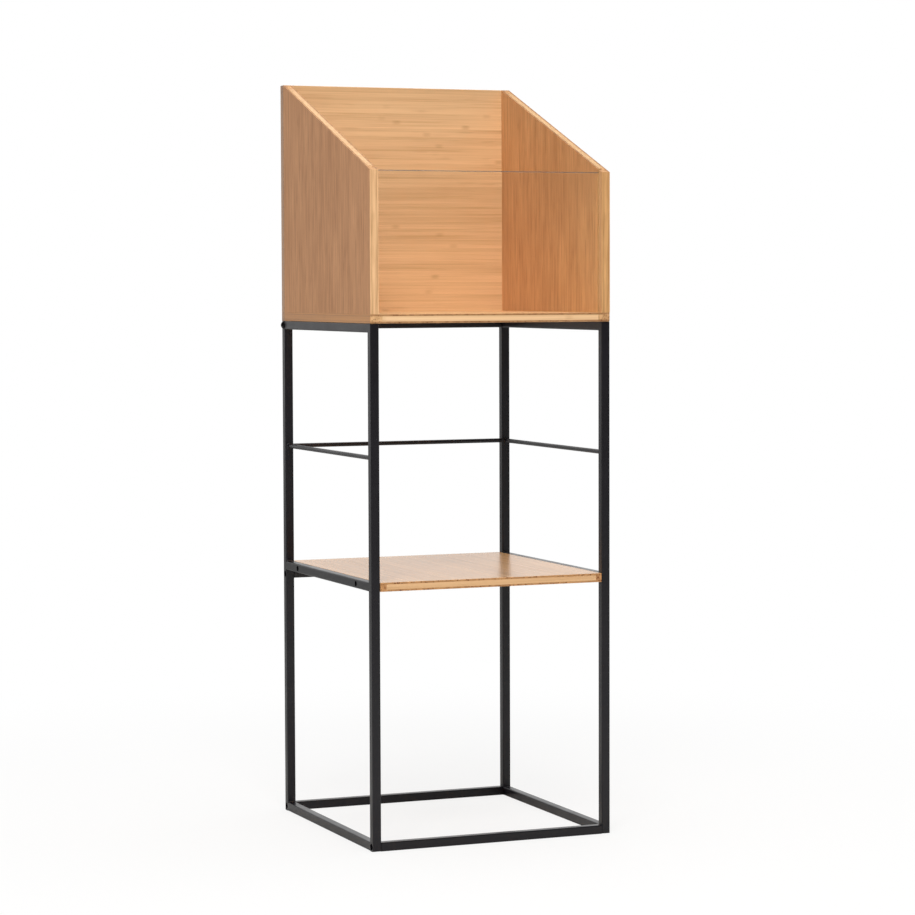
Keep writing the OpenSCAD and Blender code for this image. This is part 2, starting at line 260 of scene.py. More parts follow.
# %% Fibres, bundles and slivers
FIBRES_ACROSS = 420      # a metre, or 2.4 mm each; real ones are too fine to show, so they are drawn coarser
BROAD_ACROSS = 70        # a metre, or 14 mm each
BUNDLES_ALONG = 4        # a metre, or 250 mm each
SLIVERS_ALONG, SLIVERS_ACROSS = 28, 300         # a metre, or 36 by 3.3 mm each


def drawn_out(tree, grain, per_metre_along, per_metre_across):
    """The point, scaled so that a texture on it is drawn out along the grain."""
    scaled = [add(tree, "Math", {0: grain[way], 1: scale}, operation="MULTIPLY").outputs[0]
              for way, scale in (("along", per_metre_along), ("across", per_metre_across),
                                 ("through", per_metre_across))]
    return add(tree, "CombineXYZ", dict(zip(AXES, scaled))).outputs[0]


def fibres_and_bundles(tree, grain, fibres_per_metre):
    """Sockets from 0 to 1: fine fibres, broad streaks, bundles, and slivers."""
    fine = add(tree, "TexNoise", {"Vector": drawn_out(tree, grain, fibres_per_metre, FIBRES_ACROSS),
                                  "Scale": 1.0, "Detail": 4.0, "Roughness": 0.7})
    broad = add(tree, "TexNoise", {"Vector": drawn_out(tree, grain, 0.8 * fibres_per_metre, BROAD_ACROSS),
                                   "Scale": 1.0, "Detail": 2.0})
    cells = add(tree, "TexVoronoi", {"Vector": drawn_out(tree, grain, BUNDLES_ALONG, 1 / BUNDLE_STEP),
                                     "Scale": 1.0})
    bundles = add(tree, "MapRange", {"Value": cells.outputs["Distance"], "From Min": 0.12, "From Max": 0.42,
                                     "To Min": 1.0, "To Max": 0.0}, interpolation_type="SMOOTHSTEP")
    patches = add(tree, "TexVoronoi", {"Vector": drawn_out(tree, grain, SLIVERS_ALONG, SLIVERS_ACROSS),
                                       "Scale": 1.0})
    sliver = add(tree, "MapRange", {"Value": patches.outputs["Distance"], "From Min": 0.20, "From Max": 0.60,
                                    "To Min": 1.0, "To Max": 0.0}, interpolation_type="SMOOTHSTEP")

    # One cell in seven holds a sliver, and few of those a dark one.
    chance = add(tree, "SeparateColor", {0: patches.outputs["Color"]})
    chosen = add(tree, "MapRange", {"Value": chance.outputs["Red"], "From Min": 0.86, "From Max": 1.0})
    slivers = add(tree, "Math", {0: sliver.outputs[0], 1: chosen.outputs[0]}, operation="MULTIPLY")
    return fine.outputs["Fac"], broad.outputs["Fac"], bundles.outputs[0], slivers.outputs[0]


print("fine fibres about", round(1000 / FIBRES_ACROSS, 1), "mm wide")

# %% [markdown]
# The last step mixes them. A face ply is tan, while its edge and the places cut across show other tones. The
# lacquer is a satin film that isn't quite even: it is thin, so the fibres still roughen it and raise it a
# little, and a highlight breaks up along the grain.

# %% Bamboo plywood
# Shares of the light that each mark takes away: 0.16 is 16 % darker, and -0.08 is 8 % paler.
FINE_SHADES, BROAD_SHADES = (0.16, -0.08), (0.08, -0.05)
FACE_DOTS, GLUE_DARK = 0.05, 0.25
SAWN_STRIPS = 2.5                     # how much more the strips differ where they are cut across
BROWNER = (0.85, 1.05, 1.25)          # a mark takes more blue than red: dark bamboo is browner, not greyer


def bamboo_plywood(name, solid, along, across, edging, sheet, smooth, sheen):
    """Lacquered bamboo for one board; smooth is its least roughness, and sheen its Specular IOR Level."""
    material, tree, output = new_material(name)
    grain = find_grain(tree, solid, along, across, edging)
    strips = strip_darkness(tree, grain)
    fine, broad, bundles, slivers = fibres_and_bundles(tree, grain, sheet["fibres"])

    inside = add(tree, "Mix", {"Factor": grain["core"], 6: linear(sheet["edging"]), 7: linear(sheet["core"])},
                 data_type="RGBA").outputs[2]
    ground = add(tree, "Mix", {"Factor": grain["on a face"], 6: inside, 7: linear(sheet["face"])},
                 data_type="RGBA").outputs[2]
    sawn = add(tree, "Mix", {"Factor": grain["under the plies"], 6: linear(sheet["ply"]),
                             7: linear(sheet["block"])}, data_type="RGBA").outputs[2]
    ground = add(tree, "Mix", {"Factor": grain["cut across"], 6: ground, 7: sawn},
                 data_type="RGBA").outputs[2]

    darkest, palest = (shade * sheet["streaks"] for shade in FINE_SHADES)
    fine_dark = add(tree, "MapRange", {"Value": fine, **NOISE_RANGE, "To Min": darkest, "To Max": palest})
    darkest, palest = BROAD_SHADES
    broad_dark = add(tree, "MapRange", {"Value": broad, **NOISE_RANGE, "To Min": darkest, "To Max": palest})
    dot_depth = add(tree, "MapRange", {"Value": grain["cut across"], "To Min": FACE_DOTS,
                                       "To Max": sheet["dots"]})
    dots = add(tree, "Math", {0: bundles, 1: dot_depth.outputs[0]}, operation="MULTIPLY")
    strip_share = add(tree, "MapRange", {"Value": grain["cut across"], "To Min": sheet["strips"],
                                         "To Max": SAWN_STRIPS})
    strips = add(tree, "Math", {0: strips, 1: strip_share.outputs[0]}, operation="MULTIPLY").outputs[0]
    dark = add(tree, "Math", {0: strips, 1: fine_dark.outputs[0]}, operation="ADD")
    for mark in (broad_dark, dots):
        dark = add(tree, "Math", {0: dark.outputs[0], 1: mark.outputs[0]}, operation="ADD")
    for mark, share in ((grain["glue"], GLUE_DARK), (slivers, sheet["slivers"])):
        dark = add(tree, "Math", {0: mark, 1: share, 2: dark.outputs[0]}, operation="MULTIPLY_ADD")
    taken = add(tree, "VectorMath", {0: BROWNER, "Scale": dark.outputs[0]}, operation="SCALE")
    kept = add(tree, "VectorMath", {0: (1.0, 1.0, 1.0), 1: taken.outputs["Vector"]}, operation="SUBTRACT")
    colour = add(tree, "VectorMath", {0: ground, 1: kept.outputs["Vector"]}, operation="MULTIPLY")

    height = add(tree, "Math", {0: fine, 1: bundles}, operation="SUBTRACT")
    bump = add(tree, "Bump", {"Strength": 0.03, "Distance": 0.0002, "Height": height.outputs[0]})
    roughness = add(tree, "MapRange", {"Value": fine, **NOISE_RANGE,
                                       "To Min": smooth, "To Max": smooth + 0.06})
    wood = add(tree, "BsdfPrincipled", {"Base Color": colour.outputs["Vector"],
                                        "Roughness": roughness.outputs[0], "IOR": 1.5,
                                        "Specular IOR Level": sheen, "Normal": bump.outputs["Normal"]})
    tree.links.new(wood.outputs["BSDF"], output.inputs["Surface"])
    return material


print("glue line:", round(GLUE_LINE * 2000, 1), "mm")

# %% [markdown]
# The face grain of the sides stands upright, that of the back runs from side to side, and that of the floor
# and the shelf from front to back: that is the first axis. The strips lie side by side on the second one, and
# the solid strips at those two edges are as wide as the number after it. The sides are rubbed down to a dull
# satin. The shelf shines most: it mirrors the white backdrop, so its far half looks paler than it is.

# %% The five boards' bamboo
BAMBOO = {}
for solid, place, along, across, edging, sheet, smooth, sheen in (
        ("box_side_left", "left side", "Z", "Y", 0.016, LEFT_SHEET, 0.55, 0.3),
        ("box_side_right", "right side", "Z", "Y", 0.016, RIGHT_SHEET, 0.55, 0.3),
        ("box_floor", "box floor", "Y", "X", 0.017, FLOOR_SHEET, 0.36, 0.5),
        ("box_back", "box back", "X", "Z", 0.012, BACK_SHEET_AND_EDGE_SHADE, 0.26, 0.5),
        ("shelf_board", "shelf", "Y", "X", 0.0085, SHELF_SHEET, 0.22, 0.5)):
    BAMBOO[solid] = bamboo_plywood(f"bamboo plywood, {place}", solid, along, across, edging, sheet,
                                   smooth, sheen)
print("boards with bamboo:", list(BAMBOO))

# %% [markdown]
# ## The boards
#
# On the real stand no edge is knife-sharp: the front edges of the box are rounded over by a router, and every
# other edge is broken with sandpaper. The CAD boards have sharp edges, so each one is built again here as a
# mesh of exactly the same size. A Bevel modifier that reads a weight from each edge rounds the edges that a
# hand touches, and only breaks the ones at a neighbour, so that the seams stay tight.

# %% Turn a mesh under construction into a board of the stand
ROUND_OVER = 0.0012      # the rounding at bevel weight 1
REAL_EDGE = 0.2          # radians; faces that meet flatter than this have no edge between them
ON_A_FACE = 0.001        # an edge that is this close to a face of its board lies on it


def as_object(name, build):
    """Turns a mesh under construction into an object of the scene."""
    data = bpy.data.meshes.new(name)
    build.to_mesh(data)
    build.free()
    made = bpy.data.objects.new(name, data)
    bpy.context.scene.collection.objects.link(made)
    return made


def modifiers_applied(piece):
    """The piece's mesh with its modifiers worked into it."""
    bpy.context.view_layer.update()
    graph = bpy.context.evaluated_depsgraph_get()
    data = bpy.data.meshes.new_from_object(piece.evaluated_get(graph))
    piece.modifiers.clear()
    return data


def finish_board(name, build, weight_of, solid, cutter=None):
    """Rounds a board's edges by weight, drills it, and lets it stand for its CAD solid."""
    bmesh.ops.recalc_face_normals(build, faces=build.faces)
    weights = build.edges.layers.float.new("bevel_weight_edge")
    for edge in build.edges:
        if edge.calc_face_angle(0) > REAL_EDGE:
            ends = [v.co for v in edge.verts]
            edge[weights] = weight_of((ends[0] + ends[1]) / 2, (ends[1] - ends[0]).normalized())
    piece = as_object(name, build)
    bevel = piece.modifiers.new("rounded edges", "BEVEL")
    bevel.limit_method = "WEIGHT"
    bevel.width = ROUND_OVER
    bevel.segments = 4
    if cutter:
        drill = piece.modifiers.new("countersinks", "BOOLEAN")
        drill.object = cutter
        drill.solver = "EXACT"
    piece.data = modifiers_applied(piece)
    piece.data.name = name
    if cutter:
        bpy.data.objects.remove(cutter)

    # Weighted normals keep the flats flat, so that only the rounding catches a highlight.
    piece.data.shade_smooth()
    piece.data.set_sharp_from_angle(angle=math.radians(30))
    flats = piece.modifiers.new("flats stay flat", "WEIGHTED_NORMAL")
    flats.keep_sharp = True
    flats.weight = 100
    piece.data.materials.clear()
    piece.data.materials.append(BAMBOO[solid])
    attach(piece, "stand")
    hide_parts(solid)
    "bamboo_side" if "side" in solid else "bamboo_board"
    return piece


print("largest rounding:", ROUND_OVER * 1000, "mm")

# %% [markdown]
# A solid with straight sides is one face that is extruded, and its top moved up: that is quick, and leaves no
# stray faces. One that changes on its way is a row of rings with a skin over them, and a cap at each end.

# %% Raise an outline, or skin a row of rings
def prism(outline, low, high):
    """A mesh under construction: an outline in X and Y, drawn up from low to high."""
    build = bmesh.new()
    base = build.faces.new([build.verts.new((x, y, low)) for x, y in outline])
    raised = bmesh.ops.extrude_face_region(build, geom=[base])
    tops = [v for v in raised["geom"] if isinstance(v, bmesh.types.BMVert)]
    bmesh.ops.translate(build, verts=tops, vec=(0, 0, high - low))
    return build


def join_rings(build, rings, closed=False):
    """Skins a row of rings of points; closed joins the last one to the first, and open ends are capped."""
    pairs = list(zip(rings, rings[1:])) + ([(rings[-1], rings[0])] if closed else [])
    for first, second in pairs:
        for i in range(len(first)):
            j = (i + 1) % len(first)
            build.faces.new((first[i], first[j], second[j], second[i]))
    if not closed:
        build.faces.new(rings[0])
        build.faces.new(rings[-1])


test = prism([(0, 0), (1, 0), (1, 1)], 0, 1)
print("faces of a raised triangle:", len(test.faces))
test.free()

# %% [markdown]
# ### Sides of the box
#
# A side is a board with a groove for the clear panel, cut off along a slope at the top. Its plan is drawn
# with the groove as a notch and raised, which gives the groove for nothing, and one slanting cut makes the
# slope.

# %% Make the two sides
PANEL_PLAY = 0.0004      # the groove is this much wider than the panel on each face
panel_low, panel_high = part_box("clear_front_panel")
groove_near, groove_far = panel_low.y - PANEL_PLAY, panel_high.y + PANEL_PLAY
groove_end = panel_high.x + PANEL_PLAY


def make_side(solid, sign):
    """A side of the box; sign is -1 for the left one and 1 for the right one."""
    low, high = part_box(solid)
    outer, inner = (low.x, high.x) if sign < 0 else (high.x, low.x)
    outline = [(outer, low.y), (inner, low.y), (inner, groove_near), (sign * groove_end, groove_near),
               (sign * groove_end, groove_far), (inner, groove_far), (inner, high.y), (outer, high.y)]
    build = prism(outline, low.z, high.z)
    slope = Vector((0, high.y - low.y, high.z - panel_high.z))
    cut = bmesh.ops.bisect_plane(build, geom=build.verts[:] + build.edges[:] + build.faces[:],
                                 plane_co=(0, low.y, panel_high.z),
                                 plane_no=Vector((1, 0, 0)).cross(slope), clear_outer=True)
    rim = [e for e in cut["geom_cut"] if isinstance(e, bmesh.types.BMEdge)]
    bmesh.ops.holes_fill(build, edges=rim, sides=0)

    def weight_of(middle, way):
        in_groove = low.y + ON_A_FACE < middle.y < groove_far + ON_A_FACE
        if middle.y > high.y - ON_A_FACE:
            return 0.0                                       # covered by the back
        if abs(way.z) > 0.9:                                 # an upright edge, at the front or in the groove
            return 1.0 if middle.y < low.y + ON_A_FACE else 0.15
        if middle.z > panel_high.z - ON_A_FACE:              # the top, sanded less than the front
            return 0.15 if in_groove else 0.7
        return 0.3                                           # the seam on the floor

    return finish_board(solid.replace("box", "board"), build, weight_of, solid)


for solid, sign in (("box_side_left", -1), ("box_side_right", 1)):
    side = make_side(solid, sign)
    print(side.name, [round(v * 1000, 1) for v in side.dimensions], "mm")

# %% [markdown]
# ### Countersinks
#
# The floor and the back are screwed on, and each screw's head lies in a countersink. A Boolean modifier
# drills them all at once with one cutter. Where they go is asked of the CAD screws: the points farthest out
# on each one are the rim of its head.

# %% Make the cutter for a row of countersinks
HEAD_RADIUS, SHANK_RADIUS = 0.00355, 0.0018
HOLE_DEPTH = 0.008       # how deep the shank's hole is drilled
PAST_FACE = 0.001        # a cutter starts outside the board, so that it cuts cleanly
SAME_HEAD = 0.010        # points closer than this are on the same head


def head_places(screws, into):
    """The middle of each head of a CAD solid of screws that are driven in one direction."""
    points = [v.co for v in solids[screws].data.vertices]
    outermost = min(p.dot(into) for p in points)
    rims = []
    for p in (p for p in points if p.dot(into) < outermost + 1e-5):
        near = [rim for rim in rims if (rim[0] - p).length < SAME_HEAD]
        if near:
            near[0].append(p)
        else:
            rims.append([p])
    return [Vector([(min(c) + max(c)) / 2 for c in zip(*rim)]) for rim in rims]


def turned(build, profile, place, into, sides=32):
    """Adds a turned shape: a ring of points for each (radius, depth) of the profile, joined and capped."""
    turn = into.to_track_quat("Z", "Y").to_matrix()
    rings = [[build.verts.new(place + turn @ Vector((radius * math.cos(a), radius * math.sin(a), depth)))
              for a in (math.tau * i / sides for i in range(sides))] for radius, depth in profile]
    join_rings(build, rings)


def countersink_cutter(screws, into):
    """One object with the space that the heads and shanks of a CAD solid's screws take up."""
    build = bmesh.new()
    cone_end = HEAD_RADIUS - SHANK_RADIUS
    for place in head_places(screws, into):
        turned(build, [(HEAD_RADIUS, -PAST_FACE), (HEAD_RADIUS, 0.0), (SHANK_RADIUS, cone_end),
                       (SHANK_RADIUS, HOLE_DEPTH)], place, into)
    bmesh.ops.recalc_face_normals(build, faces=build.faces)
    return as_object("countersinks", build)


print("screws in the back:", len(head_places("box_back_screws", Vector((0, -1, 0)))))

# %% [markdown]
# ### Floor
#
# The floor's groove stops short of its sides, so an outline can't hold it. It is four rectangles with a skin
# over them: its underside, its top, the mouth of the groove in that top, and the groove's bottom.

# %% Make the floor of the box
def box_ring(build, x_low, y_low, x_high, y_high, z):
    """The four corners of a level rectangle."""
    return [build.verts.new(p) for p in ((x_low, y_low, z), (x_high, y_low, z), (x_high, y_high, z),
                                         (x_low, y_high, z))]


def make_floor():
    low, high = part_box("box_floor")
    build = bmesh.new()
    slot = (-groove_end, groove_near, groove_end, groove_far)
    join_rings(build, [box_ring(build, low.x, low.y, high.x, high.y, low.z),
                       box_ring(build, low.x, low.y, high.x, high.y, high.z),
                       box_ring(build, *slot, high.z), box_ring(build, *slot, panel_low.z)])

    def weight_of(middle, way):
        at_front = middle.y < low.y + ON_A_FACE
        if middle.y > high.y - ON_A_FACE or abs(middle.x) < groove_end + ON_A_FACE and not at_front:
            return 0.15                                      # at the back board, or in the groove
        return 0.3 if middle.z > high.z - ON_A_FACE else 0.8     # the top meets the sides; the rest is free

    return finish_board("board_floor", build, weight_of, "box_floor",
                        countersink_cutter("box_floor_screws", Vector((0, 0, 1))))


box_floor = make_floor()
print(box_floor.name, [round(v * 1000, 1) for v in box_floor.dimensions], "mm")

# %% [markdown]
# ### Back and shelf
#
# Both are plain rectangles. The back's top edge is the one that a hand meets, so it is rounded most. The
# shelf lies between the rails at its sides, where its edges are only broken.

# %% Make the back and the shelf
def rectangle(low, high):
    """A box's outline, seen from above."""
    return [(low.x, low.y), (high.x, low.y), (high.x, high.y), (low.x, high.y)]


def make_back():
    low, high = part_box("box_back")

    def weight_of(middle, way):
        if middle.z > high.z - ON_A_FACE:
            return 0.8                                       # the top
        return 0.5 if middle.y > high.y - ON_A_FACE else 0.2     # the outside, or a seam

    return finish_board("board_back", prism(rectangle(low, high), low.z, high.z), weight_of, "box_back",
                        countersink_cutter("box_back_screws", Vector((0, -1, 0))))


def make_shelf():
    low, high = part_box("shelf_board")

    def weight_of(middle, way):
        return 0.5 if min(middle.y - low.y, high.y - middle.y) < ON_A_FACE else 0.25

    return finish_board("board_shelf", prism(rectangle(low, high), low.z, high.z), weight_of, "shelf_board")


for board in (make_back(), make_shelf()):
    print(board.name, [round(v * 1000, 1) for v in board.dimensions], "mm")

# %% [markdown]
# ## Powder-coated steel
#
# The frame is mild steel tube, powder coated satin black. Powder melts into a skin that is never quite flat.
# Its "orange peel" makes highlights waver, and that is what tells the eye coated steel from black plastic.
# The coat is a resin and not a metal, and its black has a trace of violet, which shows on dim faces.

# %% Satin black powder coat
PEEL_PER_METRE = 700.0   # waves of 1.4 mm; real ones are about 1 mm, so they are drawn a little coarser
DRIFT_PER_METRE = 22.0   # slow changes of gloss along a tube, where the powder lies thicker


def powder_coat():
    material, tree, output = new_material("satin black powder coat on steel")
    place = add(tree, "TexCoord")
    peel = add(tree, "TexNoise", {"Vector": place.outputs["Object"], "Scale": PEEL_PER_METRE, "Detail": 1.5})
    drift = add(tree, "TexNoise", {"Vector": place.outputs["Object"], "Scale": DRIFT_PER_METRE,
                                   "Detail": 2.0})
    bump = add(tree, "Bump", {"Strength": 0.16, "Distance": 0.0003, "Height": peel.outputs["Fac"]})
    roughness = add(tree, "MapRange", {"Value": drift.outputs["Fac"], **NOISE_RANGE,
                                       "To Min": 0.28, "To Max": 0.37})
    shade = add(tree, "Mix", {"Factor": drift.outputs["Fac"], 6: linear("#110e13"), 7: linear("#151219")},
                data_type="RGBA")
    coat = add(tree, "BsdfPrincipled", {"Base Color": shade.outputs[2], "Roughness": roughness.outputs[0],
                                        "IOR": 1.5, "Normal": bump.outputs["Normal"]})
    tree.links.new(coat.outputs["BSDF"], output.inputs["Surface"])
    return material


def finish_solid(name, material):
    """Gives a CAD solid its finish through its object's material slots."""
    for place in solids[name].material_slots:
        place.material = material


STEEL_TUBE = [name for name in solids if name.startswith(("post_", "top_rail", "shelf_rail", "bottom_rail",
                                                          "stop_rod", "cross_rail"))]
black_coat = powder_coat()
for name in STEEL_TUBE:
    finish_solid(name, black_coat)
print("powder-coated solids:", len(STEEL_TUBE))

# %% [markdown]
# ### Welds
#
# The side frames are welded. Their outer faces are ground flush, which the CAD has, but nobody grinds the
# inside corners: a small concave bead stays there, rippled by the welder's hand and softened by the powder.
# The rods have a ring of weld at each end. A bead is only 1.4 mm across, but a close view looks empty
# without it. Its section is the same everywhere: two straight legs on the steel, and a hollow between them.

# %% A bead's section
SEAT = 0.0002            # how far its back is let into the steel


def bead_outline(size):
    """Corner, foot, hollow and foot of a bead's section; size is the length of its two legs."""
    return [(-SEAT, -SEAT), (size, -SEAT), (size * 0.62, size * 0.16), (size * 0.30, size * 0.30),
            (size * 0.16, size * 0.62), (-SEAT, size)]


print("points in a bead's section:", len(bead_outline(1)))

# %% [markdown]
# A bead is that section, repeated along its corner or round its rod, and skinned. Sine waves change its size
# on the way, two of unlike lengths in a corner, and the phase differs too, so the beads don't look alike.

# %% Straight beads, and beads round a rod
BEAD = 0.0014            # legs of a bead in a corner
BEAD_LENGTH = 0.0092     # a tube is 12 mm wide, and the bead stops short of its rounded corners
BEAD_STEPS = 24
ROD_BEAD = 0.0010        # legs of a bead round a rod
ROD_STEPS = 36


def corner_bead(build, corner, along, out_a, out_b, phase):
    """A straight bead in an inside corner, thinner at its two ends."""
    rings = []
    for step in range(BEAD_STEPS + 1):
        t = step / BEAD_STEPS
        ripple = 1 + 0.10 * math.sin(step * 1.9 + phase) + 0.05 * math.sin(step * 0.7 + 2 * phase)
        size = BEAD * ripple * min(1.0, 0.55 + 6 * min(t, 1 - t))
        place = corner + along * (t - 0.5) * BEAD_LENGTH
        rings.append([build.verts.new(place + out_a * a + out_b * b) for a, b in bead_outline(size)])
    join_rings(build, rings)


def ring_bead(build, rod, x, y, out, phase):
    """A bead round the end of a CAD rod that meets a flat face at x, y; out points off that face."""
    low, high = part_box(rod)
    centre, radius = Vector((x, y, (low.z + high.z) / 2)), (high.z - low.z) / 2
    turn = out.to_track_quat("Z", "Y").to_matrix()
    rings = []
    for step in range(ROD_STEPS):
        angle = math.tau * step / ROD_STEPS
        size = ROD_BEAD * (1 + 0.12 * math.sin(6 * angle + phase))
        spoke = Vector((math.cos(angle), math.sin(angle), 0))
        rings.append([build.verts.new(centre + turn @ (spoke * (radius + a) + Vector((0, 0, b))))
                      for a, b in bead_outline(size)])
    join_rings(build, rings, closed=True)


print("corner bead:", BEAD * 1000, "by", BEAD_LENGTH * 1000, "mm; round a rod:", ROD_BEAD * 1000, "mm")

# %% [markdown]
# Each place is asked of the CAD solids. The bottom rails have a bead on top only, and the top rails one below
# only, because their other sides are flush with the posts' ends and ground. The shelf rails have both.

# %% Lay the weld beads
def make_welds():
    build = bmesh.new()
    phase = 0.0
    for side in ("left", "right"):
        for end, post in ((-1, f"post_front_{side}"), (1, f"post_back_{side}")):
            low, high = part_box(post)
            face_y = high.y if end < 0 else low.y
            off_post = Vector((0, -end, 0))
            middle_x = (low.x + high.x) / 2
            for rail, faces in (("bottom_rail", (1,)), ("shelf_rail", (-1, 1)), ("top_rail", (-1,))):
                rail_low, rail_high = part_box(f"{rail}_{side}")
                for face in faces:
                    z = rail_high.z if face > 0 else rail_low.z
                    phase += 1.3
                    corner_bead(build, Vector((middle_x, face_y, z)), Vector((1, 0, 0)), off_post,
                                Vector((0, 0, face)), phase)
            ring_bead(build, f"stop_rod_{side}", middle_x, face_y, off_post, phase)
        inner_x, inwards = (high.x, 1) if side == "left" else (low.x, -1)
        ring_bead(build, "stop_rod_back", inner_x, (low.y + high.y) / 2, Vector((inwards, 0, 0)), phase)
    bmesh.ops.recalc_face_normals(build, faces=build.faces)
    piece = as_object("weld_beads", build)
    piece.data.shade_smooth()
    piece.data.set_sharp_from_angle(angle=math.radians(50))
    piece.data.materials.append(black_coat)
    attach(piece, "stand")
    return piece


welds = make_welds()
print("weld beads, faces:", len(welds.data.polygons))

# %% [markdown]
# ## Screws, bolts and plugs
#
# Three steel finishes are left, and the roughness and the colour of the mirrored light set them apart. Black
# oxide on the bolts is thin and a little shiny. Phosphate on the wood screws is a matt grey-black crystal
# skin. Zinc on the plugs is bright, with the faint clouds that a plating bath leaves.

# %% Finishes of the fasteners
def plated_steel(name, dark, pale, smooth, rough, grain_size):
    """A metal whose plating clouds both its colour and its roughness, in patches of grain_size metres."""
    material, tree, output = new_material(name)
    place = add(tree, "TexCoord")
    cloud = add(tree, "TexNoise", {"Vector": place.outputs["Object"], "Scale": 1 / grain_size, "Detail": 4.0})
    colour = add(tree, "Mix", {"Factor": cloud.outputs["Fac"], 6: linear(dark), 7: linear(pale)},
                 data_type="RGBA")
    roughness = add(tree, "MapRange", {"Value": cloud.outputs["Fac"], **NOISE_RANGE,
                                       "To Min": smooth, "To Max": rough})
    bump = add(tree, "Bump", {"Strength": 0.1, "Distance": 0.0001, "Height": cloud.outputs["Fac"]})
    metal = add(tree, "BsdfPrincipled", {"Base Color": colour.outputs[2], "Metallic": 1.0,
                                         "Roughness": roughness.outputs[0], "Normal": bump.outputs["Normal"]})
    tree.links.new(metal.outputs["BSDF"], output.inputs["Surface"])
    return material


black_oxide = plated_steel("black oxide on steel", "#242325", "#343235", 0.30, 0.42, 0.002)
phosphate = plated_steel("black phosphate on steel", "#2e2e31", "#404044", 0.50, 0.66, 0.0008)
zinc = plated_steel("zinc plating on steel", "#b9bdbf", "#cdd0d0", 0.24, 0.38, 0.003)
for name in solids:
    if name.endswith("bolts"):
        finish_solid(name, black_oxide)
    elif name.endswith("screws"):
        finish_solid(name, phosphate)
finish_solid("rail_end_plugs", zinc)
print("finishes:", black_oxide.name, "|", phosphate.name, "|", zinc.name)

# %% [markdown]
# ## Clear panel
#
# The front panel is cast acrylic. Its faces are polished and almost invisible. Its sawn and scraped edges are
# finely matt and let little light through, and their dark grey-green colour is painted shade: it stands in
# for the dark room that a rounded edge bends into view. So from in front the top edge is a thin grey line,
# and that line is how the eye finds the panel at all. A path tracer would cast a dark shadow behind clear
# plastic, so for shadow rays it is swapped for a plain see-through shader that takes away only a little
# light.

# %% Cast acrylic
ACRYLIC_IOR = 1.49
SCRAPES_PER_METRE = 900.0       # marks of a scraper, about 1 mm apart


def cast_acrylic():
    material, tree, output = new_material("cast acrylic, scraped edges")
    place = add(tree, "TexCoord")
    facing = add(tree, "SeparateXYZ", {0: place.outputs["Normal"]})
    flat = add(tree, "Math", {0: facing.outputs["Y"]}, operation="ABSOLUTE")
    on_edge = add(tree, "MapRange", {"Value": flat.outputs[0], "From Min": 0.99, "From Max": 0.88})
    scrapes = add(tree, "TexNoise", {"Vector": place.outputs["Object"], "Scale": SCRAPES_PER_METRE,
                                     "Detail": 2.0})
    edge_rough = add(tree, "MapRange", {"Value": scrapes.outputs["Fac"], "To Min": 0.12, "To Max": 0.34})
    roughness = add(tree, "Math", {0: on_edge.outputs[0], 1: edge_rough.outputs[0]}, operation="MULTIPLY")
    # The faces are near white; the edges' dark grey-green is painted shade for the dark room that a rounded
    # edge refracts.
    tint_and_edge_shade = add(tree, "Mix", {"Factor": on_edge.outputs[0], 6: linear("#fdfffe"), 7: linear("#39433f")},
               data_type="RGBA")
    clear = add(tree, "MapRange", {"Value": on_edge.outputs[0], "To Min": 1.0, "To Max": 0.25})
    sheet = add(tree, "BsdfPrincipled", {"Base Color": tint_and_edge_shade.outputs[2], "Roughness": roughness.outputs[0],
                                         "IOR": ACRYLIC_IOR,
                                         "Transmission Weight": clear.outputs["Result"]})
    path = add(tree, "LightPath")
    see_through = add(tree, "BsdfTransparent", {"Color": linear("#eef2f1")})
    both = add(tree, "MixShader", {0: path.outputs["Is Shadow Ray"], 1: sheet.outputs["BSDF"],
                                   2: see_through.outputs["BSDF"]})
    tree.links.new(both.outputs[0], output.inputs["Surface"])
    return material


print("acrylic bends light by", ACRYLIC_IOR)

# %% [markdown]
# The CAD panel is a sharp box, and scraped edges are never sharp. So it is built again: its top edge, which a
# hand takes hold of, is rounded nearly to a half circle, and the others have a tiny chamfer.

# %% Make the panel
TOP_ROUNDING = 0.0013    # of a sheet 3 mm thick
CHAMFER = 0.0003


def make_panel():
    build = prism(rectangle(panel_low, panel_high), panel_low.z, panel_high.z)
    bmesh.ops.recalc_face_normals(build, faces=build.faces)
    top = [e for e in build.edges if all(v.co.z > panel_high.z - ON_A_FACE for v in e.verts)]
    rim = [e for e in top if abs(e.verts[0].co.x - e.verts[1].co.x) > TOP_ROUNDING]
    bmesh.ops.bevel(build, geom=rim, offset=TOP_ROUNDING, segments=5, profile=0.5, affect="EDGES")
    sharp = [e for e in build.edges if e.calc_face_angle(0) > math.radians(57)]
    bmesh.ops.bevel(build, geom=sharp, offset=CHAMFER, segments=1, affect="EDGES")
    piece = as_object("panel_clear", build)
    piece.data.materials.append(cast_acrylic())
    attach(piece, "front_panel")
    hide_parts("clear_front_panel")
    return piece


panel = make_panel()
print(panel.name, [round(v * 1000, 1) for v in panel.dimensions], "mm")

# %% [markdown]
# ## The studio
#
# The stand was photographed on white paper under large soft lamps. The camera should see plain white, but
# if the world lit the stand that strongly, every colour would wash out. Light Path tells the two apart: rays
# from the camera find white, rays from dull surfaces a dim room, and rays from glossy ones a white backdrop
# behind the stand and a darker room round it, which is what black steel mirrors in the photograph.

# %% Make the world
bpy.context.scene.view_settings.view_transform = "Standard"
ROOM_LIGHT = 0.34                     # what dull surfaces get from all round
BACKDROP_WAY = Vector((0.38, 0.92, 0.0)).normalized()
BACKDROP_EDGE, BACKDROP_FULL = 0.35, 0.93       # cosines of 70 and 22 degrees off its middle
ROOM_IN_GLOSS = 0.10                  # how bright gloss finds the room beside the backdrop

